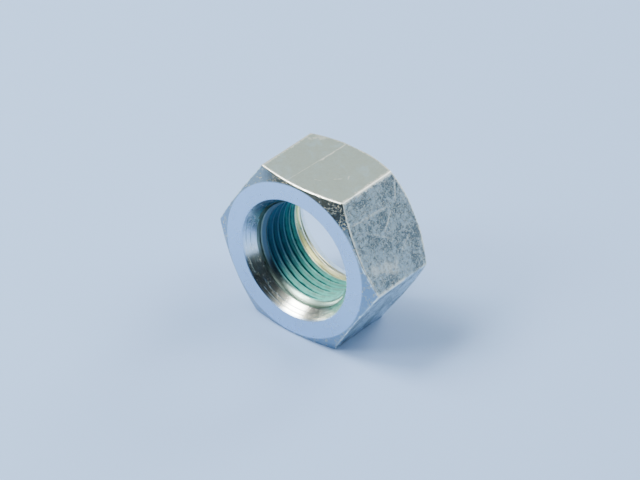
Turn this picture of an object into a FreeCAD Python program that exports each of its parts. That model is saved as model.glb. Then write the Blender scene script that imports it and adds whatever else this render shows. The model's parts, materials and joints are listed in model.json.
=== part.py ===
"""Hexagon nut, M20 x 1.5 fine thread, 30 mm across flats, with a dry film on its middle turns.

Row frame: the nut rests on one side flat. The bore lies along Y, its front face looks
along -Y, +Z is up, and the origin is the middle of the flat that it rests on.
The solids are built about a local Z axis with the front face on top, then stood in the row frame.
"""
import FreeCAD, Part
import math
import os

Vector = FreeCAD.Vector

# --- Driving dimensions, in millimetres and degrees ---------------------------------------
ACROSS_FLATS = 30.0
HEIGHT = 16.0
CORNER_ROUND = 0.35          # radius of the six edges between the flats

FRONT_FACE_RADIUS = 14.45    # where the flat front face ends and its chamfer begins
FRONT_CHAMFER_SLOPE = 24.0   # from the face
BACK_FACE_RADIUS = 15.15     # just outside the flats, so only the corners are chamfered
BACK_CHAMFER_SLOPE = 37.0

THREAD_DIAMETER = 20.0
PITCH = 1.5
THREAD_SHIFT = -0.6          # slides the thread along the bore, which sets where it starts
FRONT_MOUTH_RADIUS = 11.4
BACK_MOUTH_RADIUS = 11.1
COUNTERSINK_HALF_ANGLE = 30.0

FILM_THICKNESS = 0.06
FILM_TURNS = 6
FILM_FIRST_TURN = 3          # turns of the groove, from its back end, that lie behind the film
FILM_CREST_MARGIN = 0.05     # bare strip left on each flank, beside the crest

# --- Sizes that follow from them ----------------------------------------------------------
CORNER_RADIUS = ACROSS_FLATS / math.sqrt(3.0)
THREAD_TRIANGLE = PITCH * math.sqrt(3.0) / 2.0            # height of the sharp 60 degree triangle
MAJOR_RADIUS = THREAD_DIAMETER / 2.0
MINOR_RADIUS = MAJOR_RADIUS - 5.0 / 8.0 * THREAD_TRIANGLE
ROOT_FLAT = PITCH / 8.0
FLANK_SLOPE = math.tan(math.radians(30.0))                # half width gained per radial millimetre
GROOVE_TURNS = math.ceil(HEIGHT / PITCH) + 1              # enough to run out through both countersinks
GROOVE_START = THREAD_SHIFT - PITCH * GROOVE_TURNS / 2.0
OVERCUT = 0.28                                            # how far the cutting tool stands inside the bore
SECTORS = 6


def hexagon(across_flats, z):
    """A closed hexagon wire at height z, with two corners on the X axis."""
    radius = across_flats / math.sqrt(3.0)
    corners = [Vector(radius * math.cos(math.radians(60 * i)),
                      radius * math.sin(math.radians(60 * i)), z) for i in range(6)]
    return Part.makePolygon(corners + corners[:1])


def hexagon_prism():
    """The bar that the nut is made from, with its long edges rounded."""
    base = Part.Face(hexagon(ACROSS_FLATS, -HEIGHT / 2.0))
    prism = base.extrude(Vector(0, 0, HEIGHT))
    long_edges = [edge for edge in prism.Edges if abs(edge.tangentAt(edge.FirstParameter).z) > 0.99]
    return prism.makeFillet(CORNER_ROUND, long_edges)


def turned(profile):
    """The solid that a closed profile of (radius, z) points sweeps about the Z axis."""
    points = [Vector(radius, 0, z) for radius, z in profile]
    face = Part.Face(Part.makePolygon(points + points[:1]))
    return face.revolve(Vector(0, 0, 0), Vector(0, 0, 1), 360)


def chamfer_envelope():
    """A turned blank with a shallow cone at the front and a steep one at the back."""
    outer = CORNER_RADIUS + 1.0
    front_drop = (outer - FRONT_FACE_RADIUS) * math.tan(math.radians(FRONT_CHAMFER_SLOPE))
    back_rise = (outer - BACK_FACE_RADIUS) * math.tan(math.radians(BACK_CHAMFER_SLOPE))
    half = HEIGHT / 2.0
    return turned([(0, -half), (BACK_FACE_RADIUS, -half), (outer, -half + back_rise),
                   (outer, half - front_drop), (FRONT_FACE_RADIUS, half), (0, half)])


def countersink(mouth_radius, face_z, inward):
    """A cone that opens at a face; inward is +1 or -1, the Z direction into the nut."""
    tip_depth = mouth_radius / math.tan(math.radians(COUNTERSINK_HALF_ANGLE))
    outside = 1.0
    flare = mouth_radius + outside * math.tan(math.radians(COUNTERSINK_HALF_ANGLE))
    return turned([(0, face_z - inward * outside), (flare, face_z - inward * outside),
                   (0, face_z + inward * tip_depth)])


def bore_sectors():
    """The tapping hole as six equal sectors, so that its wall is six faces and not one."""
    angle = 360.0 / SECTORS
    sectors = []
    for i in range(SECTORS):
        sector = Part.makeCylinder(MINOR_RADIUS, HEIGHT + 4.0, Vector(0, 0, -HEIGHT / 2.0 - 2.0),
                                   Vector(0, 0, 1), angle)
        sector.rotate(Vector(0, 0, 0), Vector(0, 0, 1), angle * i)
        sectors.append(sector)
    return sectors


def helical_solid(section, start_z, turns):
    """Sweep a closed section of (radius, z) points up a right-hand helix from start_z.

    The turns are swept one at a time and fused end to end, because a cut with a solid swept
    over many turns at once leaves the blank whole.
    """
    spine = Part.makeHelix(PITCH, PITCH, MAJOR_RADIUS)
    points = [Vector(radius, 0, z) for radius, z in section]
    outline = Part.makePolygon(points + points[:1])
    turn = Part.Wire(spine).makePipeShell([outline], True, True)
    stack = [turn.translated(Vector(0, 0, start_z + PITCH * i)) for i in range(turns)]
    return stack[0].multiFuse(stack[1:])


def groove_section():
    """The thread groove: a flat root at the major radius and two 30 degree flanks."""
    inner = MINOR_RADIUS - OVERCUT
    root = ROOT_FLAT / 2.0
    mouth = root + (MAJOR_RADIUS - inner) * FLANK_SLOPE
    return [(inner, -mouth), (MAJOR_RADIUS, -root), (MAJOR_RADIUS, root), (inner, mouth)]


def film_section():
    """A thin V of even thickness that lines the groove's flanks and root."""
    root = ROOT_FLAT / 2.0
    flank_radius = MINOR_RADIUS + FILM_CREST_MARGIN
    mouth = root + (MAJOR_RADIUS - flank_radius) * FLANK_SLOPE
    inner_radius = MAJOR_RADIUS - FILM_THICKNESS
    step = FILM_THICKNESS / math.cos(math.radians(30.0))   # along Z, between the flank and the film's face
    inner_root = root + FILM_THICKNESS * FLANK_SLOPE - step
    inner_mouth = mouth - step
    return [(flank_radius, -mouth), (MAJOR_RADIUS, -root), (MAJOR_RADIUS, root), (flank_radius, mouth),
            (flank_radius, inner_mouth), (inner_radius, inner_root),
            (inner_radius, -inner_root), (flank_radius, -inner_mouth)]


def stood_in_row_frame(shape):
    """Turn the local Z axis to -Y and lift the nut on to its lowest flat."""
    shape.rotate(Vector(0, 0, 0), Vector(1, 0, 0), 90)
    shape.translate(Vector(0, 0, ACROSS_FLATS / 2.0))
    return shape


def nut_body():
    """The threaded hexagon nut."""
    body = hexagon_prism().common(chamfer_envelope())
    body = body.cut(bore_sectors())
    body = body.cut([countersink(FRONT_MOUTH_RADIUS, HEIGHT / 2.0, -1),
                     countersink(BACK_MOUTH_RADIUS, -HEIGHT / 2.0, 1)])
    body = body.cut(helical_solid(groove_section(), GROOVE_START, GROOVE_TURNS))
    return stood_in_row_frame(body)


def thread_film():
    """The dry film on the thread's middle turns, in the groove that nut_body cuts."""
    film = helical_solid(film_section(), GROOVE_START + PITCH * FILM_FIRST_TURN, FILM_TURNS)
    return stood_in_row_frame(film)


def main():
    """Build each node, print what it measures and write its STEP file."""
    os.makedirs("parts", exist_ok=True)
    for name, build in (("nut_body", nut_body), ("thread_film", thread_film)):
        shape = build()
        box = shape.BoundBox
        print(f"{name}: {len(shape.Solids)} solid, {len(shape.Faces)} faces, valid {shape.isValid()}, "
              f"volume {shape.Volume:.1f} mm3, box {box.XLength:.2f} x {box.YLength:.2f} x {box.ZLength:.2f} mm")
        shape.exportStep(f"parts/{name}.step")


main()
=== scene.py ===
"""Looks of the hexagon nut: its plated body, the dry film on its thread, and the studio round it.

Lengths in the size tables are in millimetres, and MM turns them into metres where a mesh is made.
Patterns in the finishes are sized in millimetres too.
Round the bore a place is given by its angle, its radius and its depth. The angle is in degrees
from +Z towards +X, the radius is from the bore's axis, and the depth is from the front face
towards +Y. The thread, the chamfers and the flats are all written in those terms.
"""

import json
import logging
import math
from dataclasses import dataclass, field
from enum import Enum
from typing import Sequence, Union

import bmesh
import bpy
from mathutils import Matrix, Quaternion, Vector, noise


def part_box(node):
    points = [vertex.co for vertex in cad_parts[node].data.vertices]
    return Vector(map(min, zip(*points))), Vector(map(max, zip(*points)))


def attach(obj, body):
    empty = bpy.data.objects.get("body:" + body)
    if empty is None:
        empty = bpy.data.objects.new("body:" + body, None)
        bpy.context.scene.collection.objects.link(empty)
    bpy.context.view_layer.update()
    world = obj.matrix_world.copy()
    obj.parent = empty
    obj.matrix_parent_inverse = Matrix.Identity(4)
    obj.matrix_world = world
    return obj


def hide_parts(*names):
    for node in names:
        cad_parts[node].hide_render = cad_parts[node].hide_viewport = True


MM = 0.001
FULL_TURN = 360.0
HALF_TURN = FULL_TURN / 2.0
FLATS = 6
FLAT_ANGLE = FULL_TURN / FLATS
CORNER_ANGLE = FLAT_ANGLE / 2.0
UV_UNIT = 10.0

# The most of a straight stretch that one rounding may take, and where its holding point stops
ARC_SHARE = 0.4
HOLD_SHARE = 1.1

Outline = list[tuple[float, float]]
Triple = tuple[float, float, float]
Colour = tuple[float, float, float, float]
Socket = bpy.types.NodeSocket
Value = Union[bpy.types.NodeSocket, float, tuple, None]

logging.basicConfig(level=logging.INFO, format="%(name)s: %(message)s")
LOG = logging.getLogger("hex_nut")

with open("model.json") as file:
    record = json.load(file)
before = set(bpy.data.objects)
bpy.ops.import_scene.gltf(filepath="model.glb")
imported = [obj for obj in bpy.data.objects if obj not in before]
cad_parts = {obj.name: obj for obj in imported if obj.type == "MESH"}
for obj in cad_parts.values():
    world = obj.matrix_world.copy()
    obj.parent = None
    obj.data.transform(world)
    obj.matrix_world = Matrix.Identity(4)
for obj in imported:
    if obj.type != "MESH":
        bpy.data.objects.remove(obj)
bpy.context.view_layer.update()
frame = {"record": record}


def smooth_step(low: float, high: float, value: float) -> float:
    """Return 0 below low, 1 above high, and an S-shaped rise between them."""
    t = min(1.0, max(0.0, (value - low) / (high - low)))
    return t * t * (3.0 - 2.0 * t)


def rounded(corners: Outline, radii: Sequence[float], steps: int, hold: float) -> Outline:
    """Round the inner corners of an open outline, with the same number of points every time.

    Args:
        corners: the outline's points.
        radii: the rounding radius at each inner corner.
        steps: how many straight steps each arc takes.
        hold: how far before and after each arc a point is set, to keep straight stretches straight.

    Returns:
        The outline with each inner corner replaced by an arc between two holding points.
    """
    points = [Vector(p) for p in corners]
    out = [tuple(points[0])]
    for before, corner, after, radius in zip(points, points[1:], points[2:], radii):
        run_in, run_out = (before - corner), (after - corner)
        half_turn = (math.pi - run_in.angle(run_out)) / 2.0
        most = ARC_SHARE * min(run_in.length, run_out.length)
        cut = min(radius * math.tan(half_turn), most)
        held = min(cut + hold, most * HOLD_SHARE)
        run_in.normalize()
        run_out.normalize()
        centre_way = (run_in + run_out).normalized()
        arc_radius = cut / math.tan(half_turn)
        centre = corner + centre_way * (arc_radius / math.cos(half_turn))
        start, end = corner + run_in * cut - centre, corner + run_out * cut - centre
        side = 1.0 if start.x * end.y - start.y * end.x > 0.0 else -1.0
        out.append(tuple(corner + run_in * held))
        for i in range(steps + 1):
            turn = side * 2.0 * half_turn * i / steps
            out.append((centre.x + start.x * math.cos(turn) - start.y * math.sin(turn),
                        centre.y + start.x * math.sin(turn) + start.y * math.cos(turn)))
        out.append(tuple(corner + run_out * held))
    out.append(tuple(points[-1]))
    return out


# --- Geometry shared by the pieces --------------------------------------------------------


@dataclass(frozen=True)
class NutSizes:
    """The nut's driving sizes, in millimetres and degrees, and the shapes that follow from them."""

    across_flats: float
    height: float
    axis_height: float
    front_y: float
    crest_radius: float
    pitch: float = 1.5
    groove_depth_at_top: float = 0.725
    front_face_radius: float = 14.45
    front_chamfer: float = 24.0
    back_face_radius: float = 15.15
    back_chamfer: float = 37.0
    front_mouth_radius: float = 11.4
    back_mouth_radius: float = 11.1
    countersink: float = 30.0
    corner_round: float = 0.35
    worn_edge: float = 0.12

    @classmethod
    def from_frame(cls) -> "NutSizes":
        """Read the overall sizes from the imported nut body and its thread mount.

        Returns:
            The nut's sizes.
        """
        low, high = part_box("nut_body")
        thread = next(m for m in frame["record"]["mounts"] if m["name"] == "thread")
        return cls(across_flats=(high.z - low.z) / MM, height=(high.y - low.y) / MM,
                   axis_height=(high.z + low.z) / 2.0 / MM, front_y=low.y / MM,
                   crest_radius=thread["dims"]["r_mm"])

    @property
    def half_flats(self) -> float:
        """Return the distance from the bore's axis to a side flat."""
        return self.across_flats / 2.0

    @property
    def root_radius(self) -> float:
        """Return the thread's major radius: the groove is five eighths of the sharp triangle deep."""
        return self.crest_radius + 5.0 / 8.0 * self.pitch * math.sqrt(3.0) / 2.0

    def place(self, angle: float, radius: float, depth: float) -> Vector:
        """Return the point in metres at an angle, radius and depth.

        Args:
            angle: in degrees from +Z towards +X.
            radius: in millimetres from the bore's axis.
            depth: in millimetres from the front face.

        Returns:
            The point in metres.
        """
        a = math.radians(angle)
        return Vector((radius * math.sin(a), self.front_y + depth,
                       self.axis_height + radius * math.cos(a))) * MM

    def polar(self, point: Vector) -> tuple[float, float, float]:
        """Return the angle, radius and depth of a point in metres.

        Args:
            point: a point in metres.

        Returns:
            The angle in degrees, then the radius and the depth in millimetres.
        """
        x, y, z = point / MM
        z -= self.axis_height
        return math.degrees(math.atan2(x, z)), math.hypot(x, z), y - self.front_y

    def corner_arc(self) -> float:
        """Return the angle, seen from the axis, that half of one rounded corner takes.

        Returns:
            The angle in degrees.
        """
        spread = math.tan(math.radians(CORNER_ANGLE))
        tangent = self.half_flats * spread - self.corner_round * spread
        return CORNER_ANGLE - math.degrees(math.atan2(tangent, self.half_flats))

    def hexagon_radius(self, angle: float) -> float:
        """Return how far the hexagon's outline is from the axis at an angle, corners rounded.

        Args:
            angle: where to measure, in degrees from the top flat's middle.

        Returns:
            The distance in millimetres.
        """
        from_flat = abs((angle + CORNER_ANGLE) % FLAT_ANGLE - CORNER_ANGLE)
        if from_flat <= CORNER_ANGLE - self.corner_arc():
            return self.half_flats / math.cos(math.radians(from_flat))
        centre = (self.half_flats - self.corner_round) / math.cos(math.radians(CORNER_ANGLE))
        off = math.radians(CORNER_ANGLE - from_flat)
        across = centre * math.sin(off)
        return centre * math.cos(off) + math.sqrt(self.corner_round ** 2 - across ** 2)

    def mouth_cone(self, depth: float) -> float:
        """Return the radius of whichever countersink is wider at a depth.

        Args:
            depth: in millimetres from the front face.

        Returns:
            The radius in millimetres.
        """
        slope = math.tan(math.radians(self.countersink))
        return max(self.front_mouth_radius - depth * slope,
                   self.back_mouth_radius - (self.height - depth) * slope)

    def off_groove(self, angle: float, depth: float) -> float:
        """Return how far along the bore a place is from the middle of the nearest thread groove."""
        middle = self.groove_depth_at_top + self.pitch * angle / FULL_TURN
        return (depth - middle + self.pitch / 2.0) % self.pitch - self.pitch / 2.0


@dataclass(frozen=True)
class ThreadForm:
    """The outline of one turn of the 60 degree thread, from one crest's middle to the next."""

    sizes: NutSizes
    crest_wear: float = 0.07
    root_round: float = 0.09
    arc_steps: int = 3
    hold: float = 0.03

    def outline(self) -> Outline:
        """Return (offset along the bore, radius) points across one groove.

        Returns:
            The points in millimetres, with both crests worn and both root corners rounded.
        """
        s = self.sizes
        half, root = s.pitch / 2.0, s.pitch / 16.0
        mouth = s.pitch * 3.0 / 8.0
        corners = [(-half, s.crest_radius), (-mouth, s.crest_radius), (-root, s.root_radius),
                   (root, s.root_radius), (mouth, s.crest_radius), (half, s.crest_radius)]
        radii = (self.crest_wear, self.root_round, self.root_round, self.crest_wear)
        return rounded(corners, radii, self.arc_steps, self.hold)

    def radius(self, outline: Outline, angle: float, depth: float) -> float:
        """Return the wall's radius at an angle and depth, with both countersinks cut away.

        Args:
            outline: the points that outline() gives.
            angle: where round the bore, in degrees.
            depth: where along the bore, in millimetres.

        Returns:
            The radius in millimetres.
        """
        off = self.sizes.off_groove(angle, depth)
        found = outline[0][1]
        for (low, r_low), (high, r_high) in zip(outline, outline[1:]):
            if low <= off <= high:
                found = r_low + (r_high - r_low) * (off - low) / max(high - low, 1e-9)
                break
        return max(found, self.sizes.mouth_cone(depth))


class MeshTools:
    """The few bmesh steps that both pieces share."""

    @staticmethod
    def chain(bm: bmesh.types.BMesh, points: Sequence[Vector], closed: bool = False) -> list:
        """Add a chain of vertices and edges, and return both as geometry for spin.

        Args:
            bm: the mesh being built.
            points: the chain's points in metres.
            closed: True to join the last point to the first.

        Returns:
            The vertices, then the edges.
        """
        verts = [bm.verts.new(p) for p in points]
        ends = verts[1:] + (verts[:1] if closed else [])
        return verts + [bm.edges.new(pair) for pair in zip(verts, ends)]

    @staticmethod
    def sweep(bm: bmesh.types.BMesh, geometry: list, sizes: NutSizes, angle: float, steps: int,
              advance: float = 0.0) -> list:
        """Spin a chain about the bore and return its last copy.

        Args:
            bm: the mesh being built.
            geometry: the chain's vertices and edges.
            sizes: gives the bore's axis.
            angle: how far to turn, in degrees.
            steps: how many steps the turn takes.
            advance: how far the chain moves along the bore in all, in millimetres.

        Returns:
            The vertices and edges of the chain's last copy.
        """
        centre = Vector((0.0, 0.0, sizes.axis_height * MM))
        spun = bmesh.ops.spin(bm, geom=geometry, cent=centre, axis=(0.0, 1.0, 0.0),
                              dvec=(0.0, advance * MM / steps, 0.0), angle=math.radians(angle),
                              steps=steps, use_merge=False, use_duplicate=False)
        return spun["geom_last"]

    @staticmethod
    def repeat(bm: bmesh.types.BMesh, geometry: list, sizes: NutSizes, copies: int, angle: float,
               advance: float = 0.0) -> list:
        """Copy a sector round the bore until there are enough of them, and merge their seams.

        Args:
            bm: the mesh being built.
            geometry: the first sector's vertices, edges and faces.
            sizes: gives the bore's axis.
            copies: how many sectors there are in all.
            angle: how far each sector is turned from the one before, in degrees.
            advance: how far each sector is moved along the bore, in millimetres.

        Returns:
            The vertices of all the sectors.
        """
        verts = [g for g in geometry if isinstance(g, bmesh.types.BMVert)]
        centre = Vector((0.0, 0.0, sizes.axis_height * MM))
        for i in range(1, copies):
            copy = bmesh.ops.duplicate(bm, geom=geometry)["geom"]
            moved = [g for g in copy if isinstance(g, bmesh.types.BMVert)]
            bmesh.ops.rotate(bm, cent=centre, matrix=Matrix.Rotation(math.radians(angle) * i, 3, "Y"),
                             verts=moved)
            bmesh.ops.translate(bm, vec=(0.0, advance * i * MM, 0.0), verts=moved)
            verts += moved
        bmesh.ops.remove_doubles(bm, verts=verts, dist=0.001 * MM)
        return [v for v in verts if v.is_valid]

    @staticmethod
    def finish(bm: bmesh.types.BMesh, name: str, body: str, slot: str) -> bpy.types.Object:
        """Turn a bmesh into a smooth object that rides on a body.

        Args:
            bm: the mesh, which is freed.
            name: the piece's name.
            body: the body that the piece rides on.
            slot: not used.

        Returns:
            The new object.
        """
        bmesh.ops.recalc_face_normals(bm, faces=bm.faces)
        mesh = bpy.data.meshes.new(name)
        for face in bm.faces:
            face.smooth = True
        bm.to_mesh(mesh)
        bm.free()
        piece = bpy.data.objects.new(name, mesh)
        bpy.context.collection.objects.link(piece)
        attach(piece, body)
        triangles = sum(len(p.vertices) - 2 for p in mesh.polygons)
        LOG.info("%s: %d vertices, %d triangles", name, len(mesh.vertices), triangles)
        return piece


# --- The nut body -------------------------------------------------------------------------


class Surface(Enum):
    """The kinds of surface on the nut body, in the order of its material slots."""

    TURNED = 0
    FLAT = 1
    THREAD = 2


@dataclass
class NutBody:
    """The plated steel nut: six flats, two chamfered faces, two countersinks and the thread.

    The roundings and margins are in millimetres, and corner_hold is in degrees. How battered each
    flat is, from the top one round towards +X, runs from 0 for smooth to 1 for knocked about. The
    same value also darkens every flat but the top one with painted shade.
    """

    sizes: NutSizes
    edge_round: float = 0.34
    face_edge_round: float = 0.5
    mouth_round: float = 0.16
    arc_steps: int = 4
    hold: float = 0.05
    corner_steps: int = 6
    flat_steps: int = 36
    bore_steps: int = 240
    sectors: int = 8
    corner_hold: float = 0.3
    edge_unevenness: float = 0.5
    face_margin: float = 0.5
    rim_share: float = 0.6
    thread_margin: float = 0.2
    thread_reach: float = 0.05
    flat_reach: float = 0.1
    flat_facing: float = 0.8
    # Each flat's value also sets its painted shade: the top flat stays light, and the others are
    # darkened
    battering_and_shade: tuple[float, ...] = (0.16, 1.0, 0.95, 0.6, 0.8, 0.7)

    def outer_profile(self, angle: float) -> Outline:
        """Return (radius, depth) points from the front face over the side to the back face.

        Args:
            angle: where round the nut the profile is, in degrees.

        Returns:
            The points, always the same number of them.
        """
        s = self.sizes
        radius, least = s.hexagon_radius(angle), s.worn_edge
        front_drop = (radius - s.front_face_radius) * math.tan(math.radians(s.front_chamfer))
        back_step = max(radius - s.back_face_radius, 0.0)
        back_rise = back_step * math.tan(math.radians(s.back_chamfer))
        back_step, back_rise = math.hypot(back_step, least), math.hypot(back_rise, least)
        corners = [(s.front_mouth_radius + self.face_margin, 0.0), (s.front_face_radius, 0.0),
                   (radius, front_drop), (radius, s.height - back_rise),
                   (radius - back_step, s.height),
                   (s.back_mouth_radius + self.face_margin, s.height)]
        unevenness = self.edge_unevenness * noise.noise(Vector((angle * 0.35, 0.0, 3.0)))
        worn = self.edge_round * (1.0 + unevenness)
        radii = (self.face_edge_round, worn, worn, worn)
        return rounded(corners, radii, self.arc_steps, self.hold)

    def outer_shell(self, bm: bmesh.types.BMesh) -> list:
        """Spin the outer profile through one sixth, copy that round, and set each row in its place.

        Args:
            bm: the mesh being built.

        Returns:
            The edges of the shell's front rim and of its back rim.
        """
        s = self.sizes
        before = set(bm.verts)
        row_layer = bm.verts.layers.int["row"]
        corner = s.corner_arc()
        start = CORNER_ANGLE - corner
        straight = FLAT_ANGLE - 2.0 * corner - 2.0 * self.corner_hold
        geometry = MeshTools.chain(bm, [s.place(start, r, d) for r, d in self.outer_profile(start)])
        rows = [g for g in geometry if isinstance(g, bmesh.types.BMVert)]
        for row, vert in enumerate(rows, 1):
            vert[row_layer] = row
        geometry = MeshTools.sweep(bm, geometry, s, 2.0 * corner, self.corner_steps)
        hold = (self.corner_hold, 1)
        for span, steps in (hold, (straight, self.flat_steps), hold):
            geometry = MeshTools.sweep(bm, geometry, s, span, steps)
        verts = [v for v in bm.verts if v not in before]
        faces = list({f for v in verts for f in v.link_faces})
        edges = list({e for v in verts for e in v.link_edges})
        verts = MeshTools.repeat(bm, verts + edges + faces, s, FLATS, FLAT_ANGLE)
        profiles: dict[int, Outline] = {}
        for vert in verts:
            angle = s.polar(vert.co)[0]
            key = round(angle * 1000.0)
            if key not in profiles:
                profiles[key] = self.outer_profile(angle)
            vert.co = s.place(angle, *profiles[key][vert[row_layer] - 1])
        rims = []
        for row in (1, len(rows)):
            rims.append(list({e for v in verts if v[row_layer] == row
                              for e in v.link_edges if e.is_boundary}))
        return rims

    def bore_wall(self, bm: bmesh.types.BMesh) -> list:
        """Spin rows of thread outline up the helix, and carry the wall's two ends out to the faces.

        The wall is cut off level inside each countersink, out where no groove is left.

        Args:
            bm: the mesh being built.

        Returns:
            The edges of the wall's front rim and of its back rim.
        """
        s = self.sizes
        form = ThreadForm(s)
        outline = form.outline()
        turns = math.ceil(s.height / s.pitch) + 1
        depths = [s.groove_depth_at_top + s.pitch * (turn - 1) + off
                  for turn in range(turns) for off, _ in outline[:-1]]
        geometry = MeshTools.chain(bm, [s.place(0.0, s.root_radius, d) for d in depths])
        MeshTools.sweep(bm, geometry, s, FULL_TURN / self.sectors, self.bore_steps // self.sectors,
                        s.pitch / self.sectors)
        wall = MeshTools.repeat(bm, bm.verts[:] + bm.edges[:] + bm.faces[:], s, self.sectors,
                                FULL_TURN / self.sectors, s.pitch / self.sectors)
        for vert in wall:
            angle, _, depth = s.polar(vert.co)
            vert.co = s.place(angle, form.radius(outline, angle, depth), depth)
        slope = math.tan(math.radians(s.countersink))
        front_cut = (s.front_mouth_radius - s.root_radius) / slope - self.thread_margin
        back_cut = s.height - (s.back_mouth_radius - s.root_radius) / slope + self.thread_margin
        rims = []
        for depth, way in ((front_cut, -1.0), (back_cut, 1.0)):
            cut = bmesh.ops.bisect_plane(bm, geom=bm.verts[:] + bm.edges[:] + bm.faces[:],
                                         dist=0.0001 * MM, plane_co=s.place(0.0, 0.0, depth),
                                         plane_no=(0.0, way, 0.0), clear_outer=True)
            rim = [e for e in cut["geom_cut"] if isinstance(e, bmesh.types.BMEdge)]
            rims.append(self.flare(bm, rim, front=way < 0.0))
        return rims

    def flare(self, bm: bmesh.types.BMesh, rim: list, front: bool) -> list:
        """Carry the wall's rim up the countersink and round its mouth on to the flat face.

        Args:
            bm: the mesh being built.
            rim: the edges of the wall's cut end.
            front: True at the front face, False at the back.

        Returns:
            The edges of the new rim, which lies in the face.
        """
        s = self.sizes
        mouth = s.front_mouth_radius if front else s.back_mouth_radius
        slope = math.tan(math.radians(s.countersink))
        cut = self.thread_margin
        start = (s.root_radius + cut * slope, (mouth - s.root_radius) / slope - cut)
        corners = [start, (mouth, 0.0), (mouth + self.face_margin * self.rim_share, 0.0)]
        for radius, inward in rounded(corners, (self.mouth_round,), self.arc_steps, self.hold)[1:]:
            grown = bmesh.ops.extrude_edge_only(bm, edges=rim)["geom"]
            rim = [g for g in grown if isinstance(g, bmesh.types.BMEdge) and g.is_boundary]
            depth = inward if front else s.height - inward
            for vert in {v for e in rim for v in e.verts}:
                angle = s.polar(vert.co)[0]
                vert.co = s.place(angle, radius, depth)
        return rim

    @staticmethod
    def join_rims(bm: bmesh.types.BMesh, wall_rim: list, shell_rim: list) -> None:
        """Bridge two rims that lie in one plane.

        The wall's rim is held off the plane meanwhile, so that the bridge comes out untwisted.

        Args:
            bm: the mesh being built.
            wall_rim: the edges of the bore wall's rim.
            shell_rim: the edges of the outer shell's rim.
        """
        verts = list({v for e in wall_rim for v in e.verts})
        bmesh.ops.translate(bm, vec=(0.0, MM, 0.0), verts=verts)
        bmesh.ops.bridge_loops(bm, edges=wall_rim + shell_rim)
        bmesh.ops.translate(bm, vec=(0.0, -MM, 0.0), verts=verts)

    def sort_surfaces(self, bm: bmesh.types.BMesh) -> None:
        """Give each face the material slot of the kind of surface that it is on.

        Args:
            bm: the finished mesh, with its normals outward.
        """
        s = self.sizes
        for face in bm.faces:
            angle, radius, _ = s.polar(face.calc_center_median())
            kind = Surface.TURNED
            if radius < s.root_radius + self.thread_reach:
                kind = Surface.THREAD
            elif radius > s.half_flats - self.flat_reach:
                flat_angle = round(angle / FLAT_ANGLE) * FLAT_ANGLE
                outward = s.place(flat_angle, 1.0, 0.0) - s.place(0.0, 0.0, 0.0)
                if face.normal.dot(outward.normalized()) > self.flat_facing:
                    kind = Surface.FLAT
            face.material_index = kind.value

    def unroll(self, piece: bpy.types.Object) -> None:
        """Give the piece a UV map in steps of UV_UNIT: distance round the outside, and depth.

        Args:
            piece: the nut body's object.
        """
        s = self.sizes
        layer = piece.data.uv_layers.new(name="unrolled")
        width = s.across_flats / math.sqrt(3.0)
        for polygon in piece.data.polygons:
            angle, _, _ = s.polar(polygon.center)
            flat = round(angle / FLAT_ANGLE)
            for loop in polygon.loop_indices:
                point = piece.data.vertices[piece.data.loops[loop].vertex_index].co
                at, _, depth = s.polar(point)
                off = (at - flat * FLAT_ANGLE + HALF_TURN) % FULL_TURN - HALF_TURN
                along = flat * width + s.half_flats * math.tan(math.radians(off))
                layer.data[loop].uv = (along / UV_UNIT, depth / UV_UNIT)

    def batter_and_shade(self, piece: bpy.types.Object) -> None:
        """Give each face a value from 0 to 1 for how knocked about its flat is, which also sets how
        much painted shade darkens it.

        Args:
            piece: the nut body's object.
        """
        layer = piece.data.attributes.new("battered_and_shaded", "FLOAT", "FACE")
        for polygon in piece.data.polygons:
            angle = self.sizes.polar(polygon.center)[0]
            layer.data[polygon.index].value = self.battering_and_shade[round(angle / FLAT_ANGLE) % FLATS]

    def build(self, finishes: dict[Surface, bpy.types.Material]) -> bpy.types.Object:
        """Make the piece in place of the CAD nut body.

        Args:
            finishes: the material of each kind of surface.

        Returns:
            The finished piece.
        """
        bm = bmesh.new()
        bm.verts.layers.int.new("row")
        for wall_rim, shell_rim in zip(self.bore_wall(bm), self.outer_shell(bm)):
            self.join_rims(bm, wall_rim, shell_rim)
        bmesh.ops.recalc_face_normals(bm, faces=bm.faces)
        self.sort_surfaces(bm)
        piece = MeshTools.finish(bm, "plated_nut_body", "root", "plated_steel")
        for kind in Surface:
            piece.data.materials.append(finishes[kind])
        self.unroll(piece)
        self.batter_and_shade(piece)
        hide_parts("nut_body")
        return piece


# --- The dry film -------------------------------------------------------------------------


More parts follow.
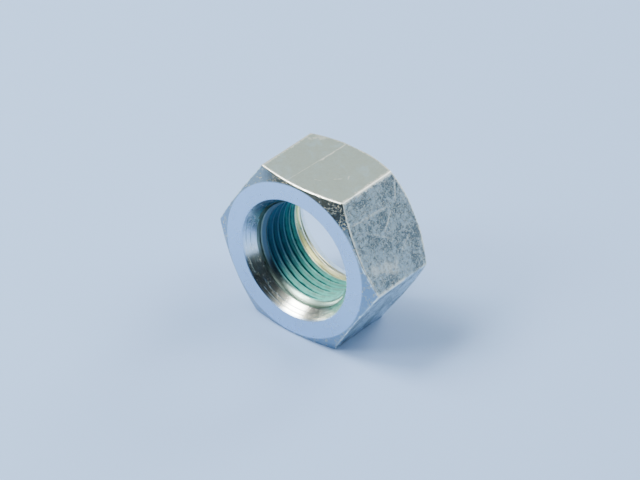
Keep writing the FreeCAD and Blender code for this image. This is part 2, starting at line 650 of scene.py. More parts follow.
@dataclass
class ThreadFilm:
    """The teal dry film in the thread's middle turns, which thins out in patches at both ends.

    The places and fades along the groove are in degrees, and the rest is in millimetres.
    Where the film has come away its front sinks into the steel, at most as far as buried. Its
    back lies deeper still.
    """

    sizes: NutSizes
    thickness: float = 0.05
    buried: float = 0.02
    back_share: float = 1.5
    turns: int = 6
    first_groove_angle: float = 90.0
    crest_gap: float = 0.001
    steps_per_turn: int = 200
    sectors: int = 8
    crest_reach: tuple[float, float] = (0.5, 0.72)
    start_fade: float = 50.0
    bare_end: float = 295.0
    end_fade: float = 60.0
    patch_size: float = 0.9
    fine_per_mm: float = 1.7
    full_cover: float = 1.1
    crest_loss: float = 0.2
    end_loss: float = 2.1
    patch_share: float = 0.4
    fine_share: float = 0.3
    sink_share: float = 0.2

    def height(self, angle: float, along: float, off: float) -> float:
        """Return how far the film stands off the steel, and less than 0 where it has come away.

        Args:
            angle: where round the bore, in degrees.
            along: how far up the groove from the film's start, in degrees.
            off: how far across the groove from its middle, in millimetres.

        Returns:
            The film's height in millimetres.
        """
        s = self.sizes
        crest = smooth_step(*self.crest_reach, abs(off))
        left = self.turns * FULL_TURN - along
        end = 1.0 - min(smooth_step(0.0, self.start_fade, along),
                        smooth_step(self.bare_end, self.bare_end + self.end_fade, left))
        spot = s.place(angle, s.root_radius, off) / MM
        patch = noise.noise(spot * (1.0 / self.patch_size) + Vector((0.0, along * 0.01, 0.0)))
        fine = noise.noise(spot * self.fine_per_mm + Vector((7.0, along * 0.015, 0.0)))
        cover = (self.full_cover - self.crest_loss * crest - self.end_loss * end
                 + self.patch_share * patch + self.fine_share * fine)
        if cover > 0.0:
            return self.thickness * min(1.0, cover)
        return max(-self.buried, self.sink_share * cover)

    def build(self, finish: bpy.types.Material) -> bpy.types.Object:
        """Make the film as a closed ribbon up the groove, in place of the CAD film.

        Args:
            finish: the film's material.

        Returns:
            The finished piece.
        """
        s = self.sizes
        low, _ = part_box("thread_film")
        form = ThreadForm(s)
        outline = form.outline()
        half = s.pitch / 2.0 - self.crest_gap
        section = [(max(-half, min(half, off)), r) for off, r in outline]
        angle = self.first_groove_angle
        start_depth = low.y / MM - s.front_y + s.pitch * 3.0 / 8.0
        start_depth -= s.off_groove(angle, start_depth)
        bm = bmesh.new()
        side = bm.verts.layers.int.new("side")
        points = [s.place(angle, r, start_depth + off) for off, r in section]
        points += [s.place(angle, r + 0.1, start_depth + off) for off, r in reversed(section)]
        geometry = MeshTools.chain(bm, points, closed=True)
        for i, vert in enumerate(g for g in geometry if isinstance(g, bmesh.types.BMVert)):
            vert[side] = 0 if i < len(section) else 1
        sector, advance = FULL_TURN / self.sectors, s.pitch / self.sectors
        MeshTools.sweep(bm, geometry, s, sector, self.steps_per_turn // self.sectors, advance)
        MeshTools.repeat(bm, bm.verts[:] + bm.edges[:] + bm.faces[:], s, self.turns * self.sectors,
                         sector, advance)
        bmesh.ops.holes_fill(bm, edges=[e for e in bm.edges if e.is_boundary], sides=0)
        for vert in bm.verts:
            angle, _, depth = s.polar(vert.co)
            off = s.off_groove(angle, depth)
            along = (depth - off - start_depth) / s.pitch * FULL_TURN
            wall = form.radius(outline, angle, depth)
            lift = (-self.buried * self.back_share if vert[side]
                    else self.height(angle, along, off))
            vert.co = s.place(angle, wall - lift, depth)
        piece = MeshTools.finish(bm, "teal_thread_film", "root", "dry_film")
        piece.data.materials.append(finish)
        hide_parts("thread_film")
        return piece


# --- Finishes -----------------------------------------------------------------------------


@dataclass(frozen=True)
class Scratch:
    """One long scratch on the flats.

    Its middle, length and width are in millimetres on the unrolled map, its turn is in degrees,
    and its strength runs from 0 to 1.
    """

    along: float
    depth: float
    turn: float
    length: float
    width: float = 0.09
    strength: float = 1.0


class Shader:
    """A node tree that is written as nested calls, each of which returns a socket."""

    def __init__(self, name: str) -> None:
        """Start an empty material with a Principled shader and its output.

        Args:
            name: the material's name.
        """
        self.material = bpy.data.materials.new(name)
        self.material.use_nodes = True
        self.tree = self.material.node_tree
        self.tree.nodes.clear()
        self.surface = self.tree.nodes.new("ShaderNodeBsdfPrincipled")
        output = self.tree.nodes.new("ShaderNodeOutputMaterial")
        self.tree.links.new(self.surface.outputs[0], output.inputs[0])

    def feed(self, socket: Socket, value: Value) -> None:
        """Link a socket to an input, or set the input if the value is plain.

        Args:
            socket: the input to feed.
            value: a socket or a plain value; None leaves the input as it is.
        """
        if isinstance(value, bpy.types.NodeSocket):
            self.tree.links.new(value, socket)
        elif value is not None:
            socket.default_value = value

    def finish(self, colour: Value, roughness: Value, normal: Socket,
               metallic: float) -> bpy.types.Material:
        """Feed the Principled shader.

        Args:
            colour: the base colour.
            roughness: from 0 for a mirror to 1 for chalk.
            normal: the bumped normal.
            metallic: 1 for metal, 0 for a coat.

        Returns:
            The finished material.
        """
        self.feed(self.surface.inputs["Base Color"], colour)
        self.surface.inputs["Metallic"].default_value = metallic
        self.feed(self.surface.inputs["Roughness"], roughness)
        self.feed(self.surface.inputs["Normal"], normal)
        return self.material

    # Sums on single values

    def math(self, operation: str, a: Value, b: Value = None) -> Socket:
        """Return the result of a Math node.

        Args:
            operation: the node's operation.
            a: the first value.
            b: the second value, if the operation takes one.

        Returns:
            The result.
        """
        node = self.tree.nodes.new("ShaderNodeMath")
        node.operation = operation
        self.feed(node.inputs[0], a)
        self.feed(node.inputs[1], b)
        return node.outputs[0]

    def chain(self, operation: str, values: Sequence[Value]) -> Socket:
        """Return one value made by working an operation through several in order.

        Args:
            operation: the Math node's operation.
            values: the values, of which there is at least one.

        Returns:
            The last result.
        """
        result = values[0]
        for value in values[1:]:
            result = self.math(operation, result, value)
        return result

    def product(self, *values: Value) -> Socket:
        """Return the values multiplied together."""
        return self.chain("MULTIPLY", values)

    def total(self, *values: Value) -> Socket:
        """Return the sum of the values."""
        return self.chain("ADD", values)

    def minus(self, a: Value, b: Value) -> Socket:
        """Return a less b."""
        return self.math("SUBTRACT", a, b)

    def together(self, *masks: Value) -> Socket:
        """Return the strongest of several masks."""
        return self.chain("MAXIMUM", masks)

    def distance(self, a: Value, b: Value = 0.0) -> Socket:
        """Return how far two values are apart."""
        return self.math("ABSOLUTE", self.minus(a, b) if b != 0.0 else a)

    def step(self, value: Socket, low: float, high: float) -> Socket:
        """Return 0 where a value is below low and 1 above high, smooth between them.

        Args:
            value: the value to judge.
            low: where the rise starts.
            high: where it ends. If this is the lower of the two, the rise is a fall.

        Returns:
            A mask from 0 to 1.
        """
        node = self.tree.nodes.new("ShaderNodeMapRange")
        node.interpolation_type = "SMOOTHSTEP"
        self.feed(node.inputs["Value"], value)
        node.inputs["From Min"].default_value = low
        node.inputs["From Max"].default_value = high
        return node.outputs[0]

    def scale(self, value: Socket, low: float, high: float) -> Socket:
        """Return a 0 to 1 value stretched to run from low to high.

        Args:
            value: a value from 0 to 1.
            low: what 0 becomes.
            high: what 1 becomes.

        Returns:
            The stretched value.
        """
        node = self.tree.nodes.new("ShaderNodeMapRange")
        self.feed(node.inputs["Value"], value)
        node.inputs["To Min"].default_value = low
        node.inputs["To Max"].default_value = high
        return node.outputs[0]

    def blend(self, factor: Value, a: Value, b: Value) -> Socket:
        """Return a colour between a, where the factor is 0, and b, where it is 1.

        Args:
            factor: a mask from 0 to 1.
            a: the colour under the mask.
            b: the colour that the mask lays over it.

        Returns:
            The blended colour.
        """
        node = self.tree.nodes.new("ShaderNodeMix")
        node.data_type = "RGBA"
        self.feed(node.inputs["Factor"], factor)
        self.feed(node.inputs["A"], a)
        self.feed(node.inputs["B"], b)
        return node.outputs["Result"]

    # Vectors

    def mapped(self, vector: Socket, scale: Triple, turn: float = 0.0,
               shift: Triple = (0.0, 0.0, 0.0)) -> Socket:
        """Return a vector scaled, then turned about Z by an angle in degrees, and shifted.

        Args:
            vector: the vector to change.
            scale: the three scales.
            turn: the angle in degrees.
            shift: what is added at the end.

        Returns:
            The changed vector.
        """
        node = self.tree.nodes.new("ShaderNodeMapping")
        self.feed(node.inputs["Vector"], vector)
        node.inputs["Rotation"].default_value = (0.0, 0.0, math.radians(turn))
        node.inputs["Scale"].default_value = scale
        node.inputs["Location"].default_value = shift
        return node.outputs[0]

    def joined(self, x: Value = 0.0, y: Value = 0.0, z: Value = 0.0) -> Socket:
        """Return a vector from three values.

        Args:
            x: its first value.
            y: its second value.
            z: its third value.

        Returns:
            The vector.
        """
        node = self.tree.nodes.new("ShaderNodeCombineXYZ")
        for socket, value in zip(node.inputs, (x, y, z)):
            self.feed(socket, value)
        return node.outputs[0]

    def parts(self, vector: Socket) -> tuple[Socket, Socket, Socket]:
        """Return the three values of a vector.

        Args:
            vector: the vector to split.

        Returns:
            Its x, y and z.
        """
        split = self.tree.nodes.new("ShaderNodeSeparateXYZ")
        self.feed(split.inputs[0], vector)
        return tuple(split.outputs)

    def pushed(self, vector: Socket, size: float) -> Socket:
        """Return a vector pushed about by noise, to break up a pattern's straight borders.

        Args:
            vector: the place in millimetres.
            size: about how large the waves of the push are.

        Returns:
            The pushed vector.
        """
        push = self.tree.nodes.new("ShaderNodeTexNoise")
        self.feed(push.inputs["Vector"], vector)
        push.inputs["Scale"].default_value = 1.0 / size
        node = self.tree.nodes.new("ShaderNodeVectorMath")
        node.operation = "ADD"
        self.feed(node.inputs[0], vector)
        self.feed(node.inputs[1], push.outputs["Color"])
        return node.outputs[0]

    # Patterns

    def noise(self, vector: Socket, size: float, detail: float = 3.0, rough: float = 0.55,
              warp: float = 0.0) -> Socket:
        """Return a noise value.

        Args:
            vector: the place in millimetres.
            size: about how large the features are.
            detail: how many finer layers are laid over the first.
            rough: how strong each finer layer is.
            warp: how much the pattern is twisted.

        Returns:
            A value from 0 to 1, mostly near a half.
        """
        node = self.tree.nodes.new("ShaderNodeTexNoise")
        self.feed(node.inputs["Vector"], vector)
        node.inputs["Scale"].default_value = 1.0 / size
        node.inputs["Detail"].default_value = detail
        node.inputs["Roughness"].default_value = rough
        node.inputs["Distortion"].default_value = warp
        return node.outputs[0]

    def cells(self, vector: Socket, size: float, smooth: float = 0.4) -> Socket:
        """Return a random value for each cell of a pattern of rounded cells of about a size.

        Args:
            vector: the place in millimetres.
            size: about how large the cells are.
            smooth: how softly one cell runs into the next.

        Returns:
            A value from 0 to 1.
        """
        node = self.tree.nodes.new("ShaderNodeTexVoronoi")
        node.feature = "SMOOTH_F1"
        self.feed(node.inputs["Vector"], vector)
        node.inputs["Scale"].default_value = 1.0 / size
        node.inputs["Smoothness"].default_value = smooth
        split = self.tree.nodes.new("ShaderNodeSeparateColor")
        self.feed(split.inputs[0], node.outputs["Color"])
        return split.outputs[0]

    def attribute(self, name: str) -> Socket:
        """Return a value that the piece's mesh carries.

        Args:
            name: the attribute's name.

        Returns:
            The attribute's value.
        """
        node = self.tree.nodes.new("ShaderNodeAttribute")
        node.attribute_name = name
        return node.outputs["Fac"]

    def fine_scratches(self, vector: Socket, turn: float, length: float, width: float,
                       few: float) -> Socket:
        """Return thin broken lines that all run one way.

        Args:
            vector: the place in millimetres.
            turn: the lines' angle in degrees.
            length: about how long each line is.
            width: about how wide each line is.
            few: from 0 for many lines to 1 for none.

        Returns:
            A mask that is 1 on the lines.
        """
        stretched = self.mapped(vector, (1.0 / width, 1.0 / length, 1.0), turn)
        lines = self.noise(stretched, 1.0, 1.0, 0.4)
        return self.step(lines, 0.55 + 0.3 * few, 0.62 + 0.3 * few)

    def deep_scratch(self, vector: Socket, cut: Scratch) -> Socket:
        """Return the mask of one long scratch that wavers a little and fades at both ends.

        Args:
            vector: the place in millimetres on the unrolled flats.
            cut: where the scratch is, how long and how deep.

        Returns:
            A mask that is the scratch's strength along its middle.
        """
        centred = self.mapped(vector, (1.0, 1.0, 1.0), shift=(-cut.along, -cut.depth, 0.0))
        x, y, _ = self.parts(centred)
        turn = math.radians(cut.turn)
        across = self.total(self.product(x, math.cos(turn)), self.product(y, -math.sin(turn)))
        run = self.total(self.product(x, math.sin(turn)), self.product(y, math.cos(turn)))
        waver = self.scale(self.noise(vector, 1.3, 2.0), -cut.width, cut.width)
        line = self.step(self.distance(self.total(across, waver)), cut.width, cut.width * 0.2)
        fade = self.step(self.distance(run), cut.length * 0.5, cut.length * 0.35)
        broken = self.step(self.noise(vector, 0.7, 2.0), 0.3, 0.5)
        return self.product(line, fade, self.product(broken, cut.strength))

    def worn_and_highlit_edges(self, sizes: NutSizes, place: Socket, radius: Socket, depth: Socket,
                   width: float) -> Socket:
        """Return a ragged mask along the nut's outer edges, from how far a place is off each one:
        wear, partly a painted highlight.

        Args:
            sizes: gives the flats and the chamfers.
            place: the place in millimetres.
            radius: its distance from the bore's axis.
            depth: its distance from the front face.
            width: about how far the wear reaches from an edge.

        Returns:
            A mask that is strongest on the upper edges, where a painted highlight is laid over
            patches of wear.
        """
        x, _, z = self.parts(place)
        off = [self.distance(z)]
        for side in (1.0, -1.0):
            off.append(self.distance(self.total(
                self.product(x, math.sin(math.radians(FLAT_ANGLE))), self.product(z, side * 0.5))))
        inside = self.minus(sizes.half_flats, self.together(*off))
        under = []
        for chamfer, face, run in ((sizes.front_chamfer, sizes.front_face_radius, depth),
                                   (sizes.back_chamfer, sizes.back_face_radius,
                                    self.minus(sizes.height, depth))):
            rise = self.product(self.minus(radius, face), math.tan(math.radians(chamfer)))
            under.append(self.distance(run, self.together(rise, 0.0)))
        ragged = self.scale(self.noise(place, 0.55, 4.0, 0.7), -width * 1.6, width * 1.6)
        edges = [self.total(inside, off_chamfer, ragged) for off_chamfer in under]
        corner = self.minus(sizes.hexagon_radius(CORNER_ANGLE), radius)
        edges.append(self.total(self.product(corner, 2.0), ragged))
        wear = self.step(self.chain("MINIMUM", edges), width, width * 0.3)
        # Painted highlight: the wear grows towards the top of the nut, over random patches
        wear_and_upper_highlight = self.total(self.noise(place, 3.2, 2.0), self.product(z, 0.012))
        return self.product(wear, self.scale(self.step(wear_and_upper_highlight, 0.38, 0.56), 0.25, 1.0))

    def bump(self, height: Socket, distance: float) -> Socket:
        """Return a normal bumped by a height.

        Args:
            height: a height from 0 to about 1.
            distance: how far a height of 1 stands up, in millimetres.

        Returns:
            The bumped normal.
        """
        node = self.tree.nodes.new("ShaderNodeBump")
        node.inputs["Strength"].default_value = 1.0
        node.inputs["Distance"].default_value = distance * MM
        self.feed(node.inputs["Height"], height)
        return node.outputs[0]

    # Places

    def bore_place(self, sizes: NutSizes) -> tuple[Socket, Socket, Socket]:
        """Return the place in millimetres from the bore's front, its radius and its depth.

        Args:
            sizes: gives the bore's axis and the front face.

        Returns:
            The place as (x, depth, z) in millimetres, its distance from the axis and its depth.
        """
        coordinates = self.tree.nodes.new("ShaderNodeTexCoord")
        node = self.tree.nodes.new("ShaderNodeVectorMath")
        node.operation = "SCALE"
        self.feed(node.inputs[0], coordinates.outputs["Object"])
        node.inputs["Scale"].default_value = 1.0 / MM
        x, y, z = self.parts(node.outputs[0])
        depth = self.minus(y, sizes.front_y)
        z = self.minus(z, sizes.axis_height)
        radius = self.math("SQRT", self.total(self.product(x, x), self.product(z, z)))
        return self.joined(x, depth, z), radius, depth

    def unrolled(self) -> Socket:
        """Return the piece's own UV map in millimetres: distance round the flats, and depth.

        Returns:
            The place on the unrolled map.
        """
        node = self.tree.nodes.new("ShaderNodeUVMap")
        node.uv_map = "unrolled"
        return self.mapped(node.outputs[0], (UV_UNIT, UV_UNIT, UV_UNIT))


@dataclass(frozen=True)
class TurnedSteel:
    """Zinc plated steel with the fine rings of a lathe tool: faces, chamfers and countersinks.

    The tool's steps are depths in the countersinks where it has left a line.
    """

    sizes: NutSizes
    # The bluish tint of the face and countersink colours is partly the plating's own and partly a
    # painted reflection of a blue surround
    colour: Colour = (0.48, 0.63, 0.83, 1.0)
    cloudy: Colour = (0.47, 0.61, 0.80, 1.0)
    # The next colour is the chamfers' painted shade and bluish painted reflection, and it also
    # colours the tool lines. The one after is the top chamfers' colour, where that painted shade
    # fades out
    painted_shade_and_tool_line: Colour = (0.21, 0.30, 0.40, 1.0)
    sloped_top: Colour = (0.27, 0.31, 0.31, 1.0)
    cut_clean: Colour = (0.53, 0.67, 0.83, 1.0)
    # A painted highlight: the near white of the countersinks' lower part
    cut_low_painted_highlight: Colour = (0.92, 0.95, 0.86, 1.0)
    cut_top: Colour = (0.85, 0.90, 0.96, 1.0)
    warm: Colour = (0.84, 0.72, 0.42, 1.0)
    bright: Colour = (0.94, 0.98, 0.86, 1.0)
    tool_steps: Triple = (0.75, 1.45, 14.9)

    def material(self) -> bpy.types.Material:
        """Build the node tree: rings and clouds everywhere, specks on the slopes, bright edges that
        are partly a painted highlight, painted shade and reflection on the lower chamfers, and a
        painted highlight low in the countersinks.

        Returns:
            The material of the faces, the chamfers and the countersinks.
        """
        s = self.sizes
        sh = Shader("turned_plated_steel")
        place, radius, depth = sh.bore_place(s)
        _, _, z = sh.parts(place)

        # Where the chamfers and the countersinks are, and how far up the nut
        outer_slope = sh.step(radius, s.front_face_radius, s.front_face_radius + 0.3)
        inner_slope = sh.step(radius, s.front_mouth_radius - 0.05, s.front_mouth_radius - 0.3)
        slope = sh.together(outer_slope, inner_slope)
        # Where the chamfers' painted shade and reflection fade out, towards the top
        painted_shade_fade = sh.step(z, 0.0, 9.0)
        # Where the painted highlight lies, in the lower part of the countersinks
        painted_highlight_low = sh.step(z, 1.0, -6.0)
        top_mouth = sh.product(sh.step(z, 5.0, 9.0), inner_slope)

        # Tool rings, specks of thin plating on the slopes, and nicks
        cloud = sh.noise(place, 2.6, 4.0, 0.6)
        rings = sh.noise(sh.joined(sh.total(radius, depth)), 0.16, 2.0, 0.6)
        grit = sh.noise(place, 0.2, 2.0, 0.7)
        patches = sh.step(sh.noise(place, 1.1, 3.0), 0.43, 0.65)
        specks = sh.product(sh.step(grit, 0.55, 0.63), patches,
                            sh.together(outer_slope, sh.product(inner_slope, 0.3)))
        tool_lines = sh.together(*(sh.step(sh.distance(depth, line), 0.1, 0.03)
                                   for line in self.tool_steps))
        tool_lines = sh.product(tool_lines, inner_slope, sh.step(cloud, 0.4, 0.55))
        nicks = sh.product(sh.together(sh.fine_scratches(place, 35.0, 2.4, 0.05, 0.55),
                                       sh.fine_scratches(place, -50.0, 1.6, 0.05, 0.6)), 0.5)
        # Bright worn edges, partly a painted highlight
        edge = sh.worn_and_highlit_edges(s, place, radius, depth, 0.26)

        colour = sh.blend(sh.step(cloud, 0.35, 0.7), self.colour, self.cloudy)
        # Painted shade and reflection: the chamfers are darker and bluer below, and neutral at the
        # top
        colour = sh.blend(outer_slope, colour, sh.blend(painted_shade_fade, self.painted_shade_and_tool_line, self.sloped_top))
        # Painted highlight: the countersinks turn near white towards the bottom
        colour = sh.blend(inner_slope, colour, sh.blend(painted_highlight_low, self.cut_clean, self.cut_low_painted_highlight))
        colour = sh.blend(top_mouth, colour, self.cut_top)
        # Tool lines, in the dark colour of the chamfers' painted shade
        colour = sh.blend(sh.product(tool_lines, 0.6), colour, self.painted_shade_and_tool_line)
        colour = sh.blend(specks, colour, self.warm)
        # Bright worn edges and nicks; on the edges this is partly a painted highlight
        colour = sh.blend(sh.together(edge, nicks), colour, self.bright)

        rough = sh.minus(sh.scale(cloud, 0.24, 0.3), sh.product(outer_slope, 0.12))
        rough = sh.minus(rough, sh.product(inner_slope, 0.07))
        rough = sh.total(rough, sh.product(specks, 0.35))

        ring_height = sh.product(rings, sh.total(sh.product(slope, 0.2), 0.08))
        mark_height = sh.minus(sh.product(specks, 0.8), sh.product(tool_lines, 0.6))
        relief = sh.total(ring_height, mark_height)
        return sh.finish(colour, rough, sh.bump(relief, 0.02), metallic=1.0)


@dataclass(frozen=True)
class RolledSteel:
    """Zinc plated steel with the marks of rolling, handling and tumbling: the six side flats.

    How knocked about each flat is, and how much painted shade darkens it, comes from a value that the
    piece carries for each face.
    """

    sizes: NutSizes
    smooth: Colour = (0.59, 0.71, 0.65, 1.0)
    # The next colour is both the colour of dark pits and the painted shade, bluish as a painted
    # reflection, on the flats other than the top one
    dull_and_painted_shade: Colour = (0.095, 0.155, 0.21, 1.0)
    pale: Colour = (0.60, 0.81, 0.94, 1.0)
    bright: Colour = (0.95, 0.99, 0.93, 1.0)
    scratches: tuple[Scratch, ...] = (
        Scratch(-2.3, 8.0, 2.0, 21.0, 0.1, 0.8), Scratch(-2.05, 12.4, 1.0, 8.5, 0.2, 1.0),
        Scratch(-6.8, 13.8, 40.0, 3.6, 0.7, 0.6), Scratch(3.5, 6.5, 38.0, 1.8, 0.16, 0.8),
        Scratch(4.6, 8.0, -25.0, 1.4, 0.16, 0.8), Scratch(1.2, 4.0, 70.0, 1.5, 0.12, 0.6),
        Scratch(11.6, 13.7, -64.0, 4.4, 0.24, 0.6), Scratch(13.1, 5.4, 3.0, 12.0, 0.28, 0.45),
        Scratch(22.3, 4.9, 18.0, 8.0, 1.7, 0.5), Scratch(15.6, 9.6, -40.0, 4.5, 0.2, 0.65),
        Scratch(17.4, 7.2, 35.0, 5.0, 0.2, 0.5), Scratch(20.5, 11.6, -30.0, 4.0, 0.2, 0.45),
        Scratch(36.0, 6.0, 30.0, 7.0, 0.1, 0.8), Scratch(52.0, 9.0, -60.0, 9.0, 0.12, 0.8),
        Scratch(-18.0, 7.5, 20.0, 8.0, 0.1, 0.8), Scratch(-35.0, 9.0, -35.0, 6.0, 0.1, 0.8))

    def material(self) -> bpy.types.Material:
        """Build the node tree: mottled plating, bruises, scuffs and scratches, painted shade on the
        flats other than the top one, and bright edges that are partly a painted highlight.

        Returns:
            The material of the six flats.
        """
        s = self.sizes
        sh = Shader("rolled_plated_steel")
        place, radius, depth = sh.bore_place(s)
        flat = sh.unrolled()
        battered_and_shaded = sh.attribute("battered_and_shaded")

        # The plating's own patterns, from broad to fine
        cloud = sh.noise(flat, 3.6, 4.0, 0.6, 0.5)
        mottle = sh.noise(flat, 0.65, 6.0, 0.75, 0.5)
        grain = sh.noise(flat, 0.3, 4.0, 0.7)
        bruises = sh.cells(sh.pushed(flat, 0.8), 0.55)
        smear = sh.product(sh.step(cloud, 0.5, 0.68), 0.45)
        worn = sh.product(sh.step(sh.total(mottle, sh.product(cloud, 0.6)), 0.7, 0.88), battered_and_shaded)
        pits = sh.product(sh.step(bruises, 0.6, 0.8), battered_and_shaded)

        # Marks of handling and tumbling
        scuffs = sh.together(sh.fine_scratches(flat, 48.0, 3.0, 0.07, 0.3),
                             sh.fine_scratches(flat, -38.0, 2.2, 0.06, 0.42),
                             sh.fine_scratches(flat, 5.0, 2.6, 0.05, 0.5))
        scuffs = sh.product(scuffs, sh.total(sh.product(battered_and_shaded, 0.6), 0.12))
        flecks = sh.product(sh.step(sh.noise(flat, 0.22, 2.0, 0.6), 0.57, 0.66), battered_and_shaded)
        cuts = sh.together(*(sh.deep_scratch(flat, cut) for cut in self.scratches))
        # Bright worn edges, partly a painted highlight
        edge = sh.worn_and_highlit_edges(s, place, radius, depth, 0.46)
        marks = sh.together(edge, cuts, scuffs, flecks)

        # Painted shade and reflection: the value that sets the knock marks also darkens the flats
        # towards a dull blue, and the top flat stays light
        colour = sh.blend(sh.product(battered_and_shaded, 0.9), self.smooth, self.dull_and_painted_shade)
        colour = sh.blend(sh.together(smear, sh.product(worn, 0.85)), colour, self.pale)
        colour = sh.blend(sh.product(pits, 0.3), colour, self.dull_and_painted_shade)
        # The marks are bright; on the edges this is partly a painted highlight
        colour = sh.blend(marks, colour, self.bright)

        rough = sh.total(sh.scale(grain, 0.24, 0.44), sh.product(battered_and_shaded, 0.1))
        rough = sh.minus(rough, sh.product(worn, 0.1))
        rough = sh.total(rough, sh.product(marks, battered_and_shaded, 0.3))

        grain_height = sh.product(grain, sh.total(sh.product(battered_and_shaded, 0.5), 0.12))
        bruise_height = sh.product(sh.total(bruises, mottle), sh.product(battered_and_shaded, 0.35))
        relief = sh.minus(sh.total(grain_height, bruise_height), sh.product(cuts, 0.5))
        return sh.finish(colour, rough, sh.bump(relief, 0.036), metallic=1.0)


@dataclass(frozen=True)
class ThreadSteel:
    """Zinc plated steel in the thread: warm and pale towards the back, with painted shade in the
    roots and on one side.
    """

    sizes: NutSizes
    warm: Colour = (0.97, 0.95, 0.62, 1.0)
    cool: Colour = (0.56, 0.80, 0.68, 1.0)
    # The colour of the painted shade over the -X side of the bore
    painted_shade_colour: Colour = (0.06, 0.10, 0.12, 1.0)
    # The colour of the painted shade in the groove roots
    root: Colour = (0.26, 0.30, 0.25, 1.0)

    def material(self) -> bpy.types.Material:
        """Build the node tree: cool at the front, painted shade on one side and in the roots, warm
        towards the back.

        Returns:
            The material of the thread.
        """
        s = self.sizes
        sh = Shader("thread_plated_steel")
        place, radius, depth = sh.bore_place(s)
        x, _, _ = sh.parts(place)
        cloud = sh.noise(place, 0.7, 3.0, 0.6)
        # Painted shade: the steel darkens towards the groove roots
        deep = sh.step(radius, s.root_radius - 0.35, s.root_radius - 0.02)
        backward = sh.step(depth, s.height * 0.66, s.height * 0.75)
        # Painted shade: the -X side of the bore is darkened, with a ragged border
        painted_shade_side = sh.step(sh.total(x, sh.scale(cloud, -1.5, 1.5)), -1.0, -6.5)

        colour = sh.blend(painted_shade_side, self.cool, self.painted_shade_colour)
        colour = sh.blend(backward, colour, self.warm)
        # Painted shade laid into the roots
        colour = sh.blend(sh.product(deep, 0.6), colour, self.root)
        relief = sh.noise(place, 0.25, 3.0)
        return sh.finish(colour, sh.scale(cloud, 0.2, 0.42), sh.bump(relief, 0.02), metallic=1.0)


@dataclass(frozen=True)
class DryFilm:
    """The teal film: darker in the roots and on one side with painted shade, and rubbed to a grey
    green on the crests.
    """

    sizes: NutSizes
    colour: Colour = (0.20, 0.76, 0.66, 1.0)
    # The colour of the painted shade in the roots and over the crests on the shaded side
    deep: Colour = (0.015, 0.13, 0.14, 1.0)
    # The colour of the painted shade laid over the -X side towards the front
    navy_painted_shade: Colour = (0.03, 0.09, 0.17, 1.0)
    rubbed: Colour = (0.20, 0.42, 0.36, 1.0)
    chalky: Colour = (0.50, 0.82, 0.73, 1.0)
    sheen: float = 0.12

    def material(self) -> bpy.types.Material:
        """Build the node tree: teal, with painted shade over one side and in the roots, and rubbed on
        the crests.

        Returns:
            The material of the film.
        """
        s = self.sizes
        sh = Shader("teal_dry_film")
        place, radius, depth = sh.bore_place(s)
        x, _, _ = sh.parts(place)
        cloud = sh.noise(place, 1.5, 4.0, 0.65)
        grit = sh.noise(place, 0.3, 4.0, 0.7)
        crest = sh.step(radius, s.crest_radius + 0.32, s.crest_radius + 0.05)
        ragged_radius = sh.total(radius, sh.scale(cloud, -0.3, 0.3))
        # Painted shade: the film darkens towards the groove roots, with a ragged border
        root = sh.step(ragged_radius, s.root_radius - 0.5, s.root_radius - 0.2)
        # The -X side of the bore, with a ragged border, where painted shade is laid
        painted_shade_side = sh.step(sh.total(x, sh.scale(cloud, -2.0, 2.0)), -3.0, -8.0)
        # Painted shade: over the -X side, strongest towards the front
        front_side_painted_shade = sh.product(painted_shade_side, sh.step(depth, s.height * 0.85, s.height * 0.45))
        worn = sh.product(crest, sh.step(sh.total(cloud, sh.product(grit, 0.5)), 0.55, 0.8))
        dusty = sh.product(sh.step(grit, 0.55, 0.7), 0.5)

        # Painted shade in the roots
        colour = sh.blend(root, self.colour, self.deep)
        colour = sh.blend(sh.product(worn, 0.8), colour, self.rubbed)
        # Painted shade over the crests on the -X side
        colour = sh.blend(sh.product(crest, painted_shade_side, 0.5), colour, self.deep)
        colour = sh.blend(dusty, colour, self.chalky)
        # Painted shade: a dark navy over the -X side towards the front
        colour = sh.blend(sh.product(front_side_painted_shade, 0.9), colour, self.navy_painted_shade)
        sh.surface.inputs["Specular IOR Level"].default_value = self.sheen
        return sh.finish(colour, sh.scale(grit, 0.5, 0.8), sh.bump(grit, 0.06), metallic=0.0)


# --- The studio ---------------------------------------------------------------------------


@dataclass
class SoftLight:
    """One square area light that looks at the nut; lengths in metres."""

    name: str
    azimuth: float
    elevation: float
    distance: float
    size: float
    watts: float
    colour: Triple

    def build(self, target: Vector) -> None:
        """Hang the light and turn it to the target.

        Args:
            target: the point that the light looks at, in metres.
        """
        light = bpy.data.lights.new(self.name, "AREA")
        light.shape = "SQUARE"
        light.size, light.energy, light.color = self.size, self.watts, self.colour
        lamp = bpy.data.objects.new(self.name, light)
        bpy.context.collection.objects.link(lamp)
        away = spherical(self.azimuth, self.elevation)
        lamp.location = target + away * self.distance
        lamp.rotation_euler = (-away).to_track_quat("-Z", "Y").to_euler()


def spherical(azimuth: float, elevation: float) -> Vector:
    """Return the unit vector towards a place at an azimuth from -Y towards +X and an elevation."""
    a, e = math.radians(azimuth), math.radians(elevation)
    return Vector((math.sin(a) * math.cos(e), -math.cos(a) * math.cos(e), math.sin(e)))


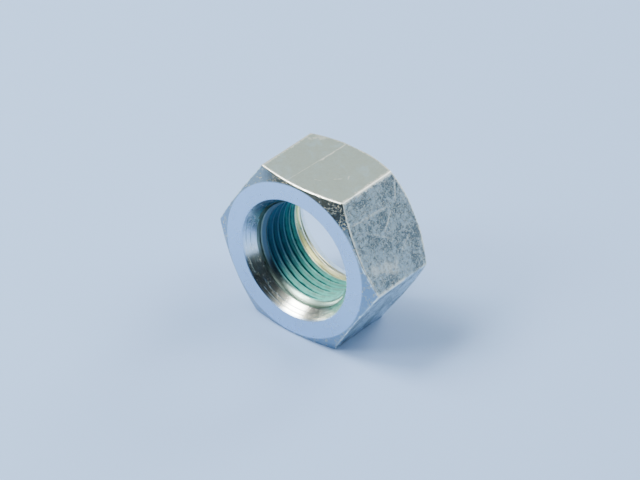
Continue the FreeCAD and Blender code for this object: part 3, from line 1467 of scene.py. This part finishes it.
@dataclass
class Studio:
    """The pale floor, the soft lights, the dim room and the camera.

    Lengths are in metres, apart from the aim and the lens, which are in millimetres, and angles
    are in degrees. The room is dimmest in the direction dim_side, and dim_reach says how far off
    that the dimness starts to give way and where it ends.
    """

    sizes: NutSizes
    camera_azimuth: float = 37.2
    camera_elevation: float = 34.9
    camera_roll: float = 2.9
    camera_distance: float = 0.679
    lens: float = 225.0
    sensor_width: float = 36.0
    aim: Triple = (-0.48, -0.3, 15.07)
    floor_size: float = 3.0
    floor_drop: float = 0.00002
    floor_colour: Colour = (0.36, 0.54, 0.87, 1.0)
    floor_roughness: float = 0.9
    floor_sheen: float = 0.1
    room_colour: Colour = (0.62, 0.66, 0.62, 1.0)
    dim_colour: Colour = (0.02, 0.03, 0.04, 1.0)
    dim_side: tuple[float, float] = (35.0, 25.0)
    dim_reach: tuple[float, float] = (39.0, 54.0)
    room_strength: float = 0.55
    lights: list[SoftLight] = field(default_factory=lambda: [
        SoftLight("key_light", -62.0, 57.0, 0.8, 0.36, 9.0, (1.0, 0.99, 0.95)),
        SoftLight("front_light", -28.0, 38.0, 0.8, 0.3, 4.0, (1.0, 1.0, 0.98)),
        SoftLight("window_light", 140.0, 50.0, 0.9, 0.45, 4.0, (1.0, 1.0, 0.98)),
        SoftLight("back_panel", -143.0, 36.0, 1.0, 0.8, 1.1, (1.0, 1.0, 0.97)),
        SoftLight("low_back_light", 177.0, 30.0, 0.9, 0.3, 3.6, (1.0, 1.0, 0.97)),
    ])

    def floor(self) -> None:
        """Lay the plain floor under the nut."""
        bm = bmesh.new()
        bmesh.ops.create_grid(bm, x_segments=1, y_segments=1, size=self.floor_size / 2.0)
        mesh = bpy.data.meshes.new("studio_floor")
        bm.to_mesh(mesh)
        bm.free()
        plane = bpy.data.objects.new("studio_floor", mesh)
        plane.location.z = -self.floor_drop
        bpy.context.collection.objects.link(plane)
        sh = Shader("pale_floor")
        sh.surface.inputs["Base Color"].default_value = self.floor_colour
        sh.surface.inputs["Roughness"].default_value = self.floor_roughness
        sh.surface.inputs["Specular IOR Level"].default_value = self.floor_sheen
        mesh.materials.append(sh.material)

    def room(self) -> None:
        """Light the room evenly, with one dim side where nothing pale stands."""
        world = bpy.data.worlds.new("soft_room")
        bpy.context.scene.world = world
        world.use_nodes = True
        tree = world.node_tree
        background = tree.nodes["Background"]
        coordinates = tree.nodes.new("ShaderNodeTexCoord")

        # How nearly a direction points to the dim side
        towards = tree.nodes.new("ShaderNodeVectorMath")
        towards.operation = "DOT_PRODUCT"
        towards.inputs[1].default_value = spherical(*self.dim_side)
        edge = tree.nodes.new("ShaderNodeMapRange")
        edge.interpolation_type = "SMOOTHSTEP"
        edge.inputs["From Min"].default_value = math.cos(math.radians(self.dim_reach[1]))
        edge.inputs["From Max"].default_value = math.cos(math.radians(self.dim_reach[0]))

        # The two colours of the room, and the links from the direction to the background
        mix = tree.nodes.new("ShaderNodeMix")
        mix.data_type = "RGBA"
        mix.inputs["A"].default_value = self.room_colour
        mix.inputs["B"].default_value = self.dim_colour
        tree.links.new(coordinates.outputs["Generated"], towards.inputs[0])
        tree.links.new(towards.outputs["Value"], edge.inputs["Value"])
        tree.links.new(edge.outputs[0], mix.inputs["Factor"])
        tree.links.new(mix.outputs["Result"], background.inputs[0])
        background.inputs[1].default_value = self.room_strength

    def camera(self) -> None:
        """Set the camera at the viewing angle."""
        data = bpy.data.cameras.new("camera")
        data.lens, data.sensor_width = self.lens, self.sensor_width
        camera = bpy.data.objects.new("camera", data)
        bpy.context.collection.objects.link(camera)
        away = spherical(self.camera_azimuth, self.camera_elevation)
        camera.location = Vector(self.aim) * MM + away * self.camera_distance
        roll = Quaternion((0.0, 0.0, 1.0), math.radians(self.camera_roll))
        camera.rotation_euler = ((-away).to_track_quat("-Z", "Y") @ roll).to_euler()
        bpy.context.scene.camera = camera

    def build(self) -> None:
        """Set up everything that isn't part of the nut."""
        self.floor()
        self.room()
        self.camera()
        target = Vector((0.0, 0.0, self.sizes.axis_height * MM))
        for light in self.lights:
            light.build(target)
            LOG.info("%s: %.1f W", light.name, light.watts)


def main() -> None:
    """Build the studio and the nut."""
    sizes = NutSizes.from_frame()
    Studio(sizes).build()
    NutBody(sizes).build({Surface.TURNED: TurnedSteel(sizes).material(),
                          Surface.FLAT: RolledSteel(sizes).material(),
                          Surface.THREAD: ThreadSteel(sizes).material()})
    ThreadFilm(sizes).build(DryFilm(sizes).material())


if __name__ == "__main__":
    main()
